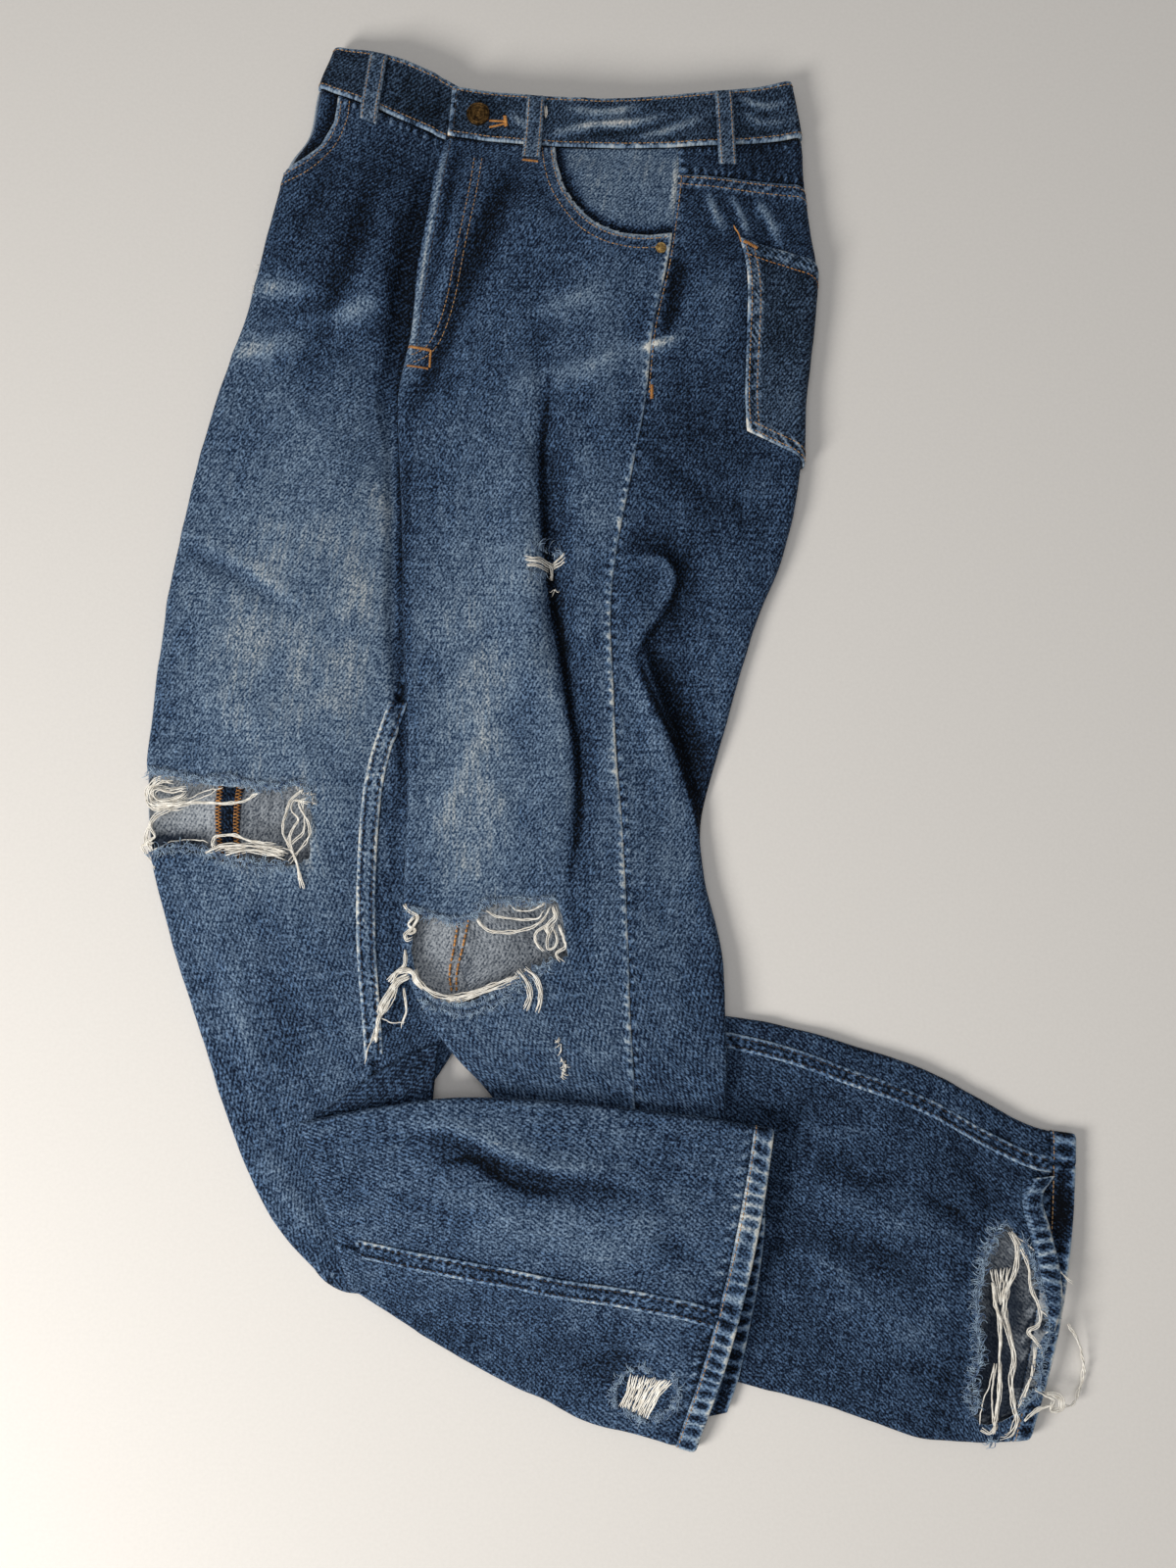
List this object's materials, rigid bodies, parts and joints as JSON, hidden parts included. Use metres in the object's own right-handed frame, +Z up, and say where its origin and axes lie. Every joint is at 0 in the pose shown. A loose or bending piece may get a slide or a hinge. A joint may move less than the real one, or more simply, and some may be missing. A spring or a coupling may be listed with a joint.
{
  "type": "ripped jeans",
  "caption": "Pair of ripped blue jeans lying flat, front up, both calves folded over to one side, with torn knees and frayed hem.",
  "frame": {"origin": "on the surface the jeans lie on, below the middle of their outline", "axes": "+Y from the folded calves towards the waistband, along the longest side; +X to the viewer's right when looking down with the waist at the top; +Z up, away from the surface"},
  "size_m": [0.6428, 0.9896, 0.0343],
  "materials": {
    "denim_front": "faded indigo twill, right side, worn pale on the thighs",
    "denim_back": "indigo twill, right side, darker backs, yokes and calves",
    "denim_band": "doubled indigo twill, waistband, loops, hems and felled seams",
    "denim_inside": "wrong side of the twill, pale grey weft",
    "topstitch": "ochre topstitching thread",
    "torn_weft": "cream weft threads and frayed edges",
    "brass": "aged brass, satin"
  },
  "bodies": {
    "root": {"front_right": "denim_front", "front_left": "denim_front", "back_left": "denim_back", "back_right": "denim_back", "back_right_turn": "denim_back", "yoke_left": "denim_back", "yoke_right": "denim_back", "pocket_facing_left": "denim_front", "pocket_facing_right": "denim_back", "back_pocket_left": "denim_back", "waistband_right": "denim_band", "waistband_left": "denim_band", "waistband_back": "denim_band", "belt_loop_right": "denim_band", "belt_loop_front": "denim_band", "belt_loop_side": "denim_band", "inseam_right": "denim_band", "inseam_right_calf": "denim_band", "inseam_left_calf": "denim_band", "bend_flap_right": "denim_back", "back_right_calf": "denim_back", "front_right_calf": "denim_back", "hem_right_back": "denim_band", "hem_right_front": "denim_band", "front_left_calf": "denim_back", "back_left_calf": "denim_back", "hem_left_back": "denim_band", "hem_left_front": "denim_band", "hidden_layers": "denim_inside", "button": "brass", "rivet": "brass"}
  },
  "joints": []
}
